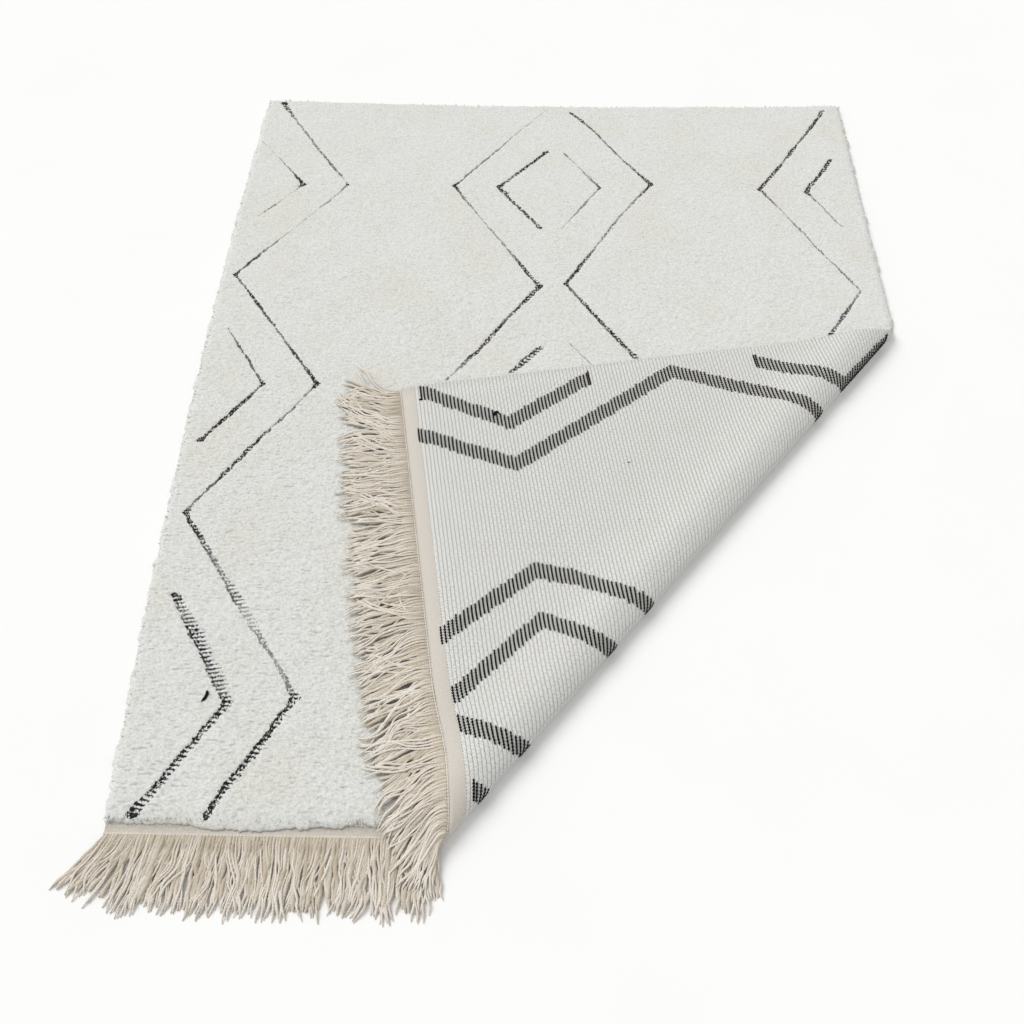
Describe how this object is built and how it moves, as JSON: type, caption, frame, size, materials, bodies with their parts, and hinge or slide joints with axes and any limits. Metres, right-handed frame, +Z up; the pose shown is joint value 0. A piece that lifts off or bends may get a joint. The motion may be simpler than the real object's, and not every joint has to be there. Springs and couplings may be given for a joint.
{
  "type": "azilal rug",
  "caption": "Hand-knotted wool pile rug with a diamond lattice, lying flat with one corner folded back to show the woven back, and a fringed end.",
  "frame": {"origin": "on the floor under the middle of the woven rectangle, before its corner is turned back", "axes": "+X across the rug to the right, +Y along the rug from the fringed near end to the far end, +Z up"},
  "size_m": [1.6641, 2.15, 0.0571],
  "materials": {
    "wool_pile": "cream wool pile with charcoal wool lines, on a flat woven wool back",
    "cotton_fringe": "natural beige plied yarn"
  },
  "bodies": {
    "root": {"rug": "wool_pile", "fringe_floor": "cotton_fringe", "fringe_flap": "cotton_fringe"}
  },
  "joints": []
}
